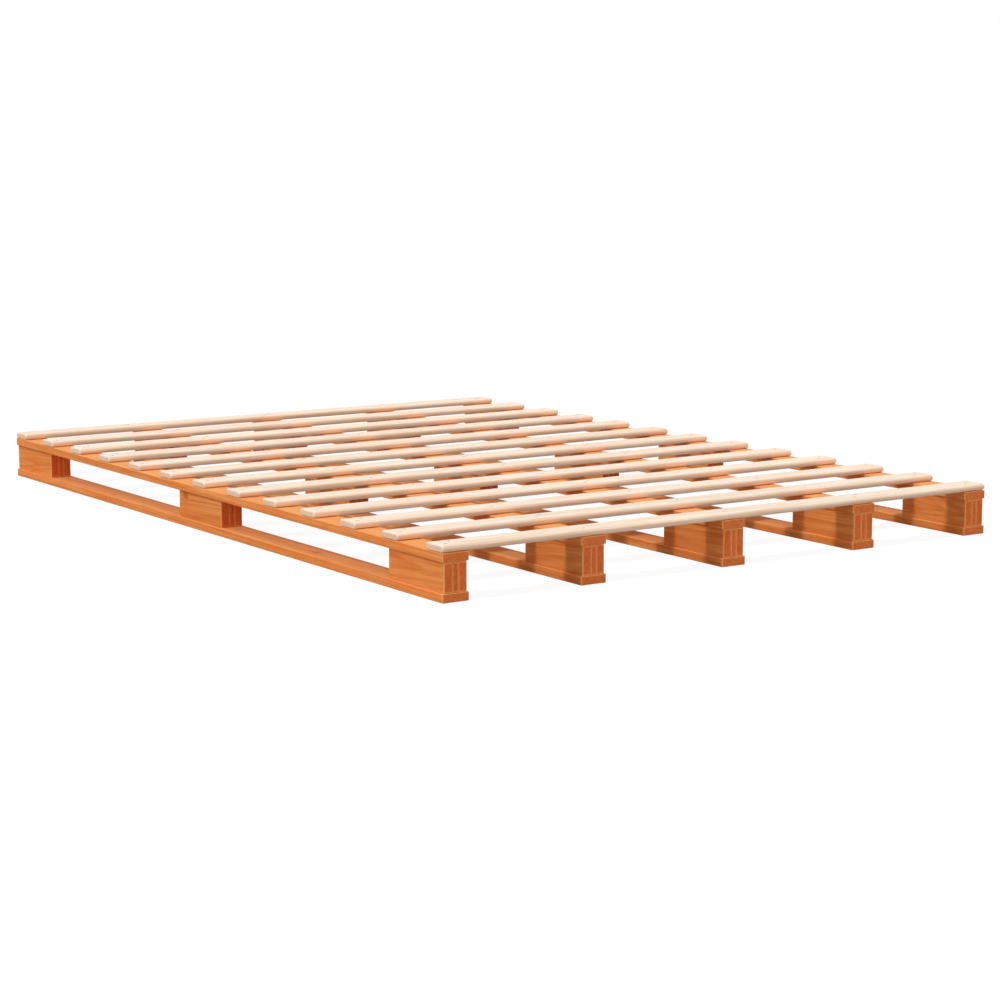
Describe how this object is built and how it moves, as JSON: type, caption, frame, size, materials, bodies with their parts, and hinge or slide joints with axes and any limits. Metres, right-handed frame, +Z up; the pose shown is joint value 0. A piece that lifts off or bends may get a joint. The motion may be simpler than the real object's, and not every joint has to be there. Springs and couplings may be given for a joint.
{
  "type": "pallet bed",
  "caption": "Low platform bed: rounded natural pine slats across pallet-style runners of stained pine boards and glued blocks, with see-through openings.",
  "frame": {"origin": "on the floor, under the middle of the bed", "axes": "+X along the slats, +Y along the runners from the near end to the far end, +Z up"},
  "size_m": [1.4, 2, 0.1104],
  "materials": {
    "stained_pine_boards": "honey-brown wax or stain, satin",
    "stained_pine_blocks": "honey-brown wax or stain, satin",
    "natural_pine_slats": "planed, untreated",
    "screw_steel": "zinc plated"
  },
  "bodies": {
    "root": {"runner_1_bottom_board": "stained_pine_boards", "runner_1_top_board": "stained_pine_boards", "runner_1_near_block": "stained_pine_blocks", "runner_1_near_screw": "screw_steel", "runner_1_middle_block": "stained_pine_blocks", "runner_1_middle_screw": "screw_steel", "runner_1_far_block": "stained_pine_blocks", "runner_1_far_screw": "screw_steel", "runner_2_bottom_board": "stained_pine_boards", "runner_2_top_board": "stained_pine_boards", "runner_2_near_block": "stained_pine_blocks", "runner_2_near_screw": "screw_steel", "runner_2_middle_block": "stained_pine_blocks", "runner_2_middle_screw": "screw_steel", "runner_2_far_block": "stained_pine_blocks", "runner_2_far_screw": "screw_steel", "runner_3_bottom_board": "stained_pine_boards", "runner_3_top_board": "stained_pine_boards", "runner_3_near_block": "stained_pine_blocks", "runner_3_near_screw": "screw_steel", "runner_3_middle_block": "stained_pine_blocks", "runner_3_middle_screw": "screw_steel", "runner_3_far_block": "stained_pine_blocks", "runner_3_far_screw": "screw_steel", "runner_4_bottom_board": "stained_pine_boards", "runner_4_top_board": "stained_pine_boards", "runner_4_near_block": "stained_pine_blocks", "runner_4_near_screw": "screw_steel", "runner_4_middle_block": "stained_pine_blocks", "runner_4_middle_screw": "screw_steel", "runner_4_far_block": "stained_pine_blocks", "runner_4_far_screw": "screw_steel", "runner_5_bottom_board": "stained_pine_boards", "runner_5_top_board": "stained_pine_boards", "runner_5_near_block": "stained_pine_blocks", "runner_5_near_screw": "screw_steel", "runner_5_middle_block": "stained_pine_blocks", "runner_5_middle_screw": "screw_steel", "runner_5_far_block": "stained_pine_blocks", "runner_5_far_screw": "screw_steel", "slat_01": "natural_pine_slats", "slat_02": "natural_pine_slats", "slat_03": "natural_pine_slats", "slat_04": "natural_pine_slats", "slat_05": "natural_pine_slats", "slat_06": "natural_pine_slats", "slat_07": "natural_pine_slats", "slat_08": "natural_pine_slats", "slat_09": "natural_pine_slats", "slat_10": "natural_pine_slats", "slat_11": "natural_pine_slats", "slat_12": "natural_pine_slats", "slat_13": "natural_pine_slats"}
  },
  "joints": []
}
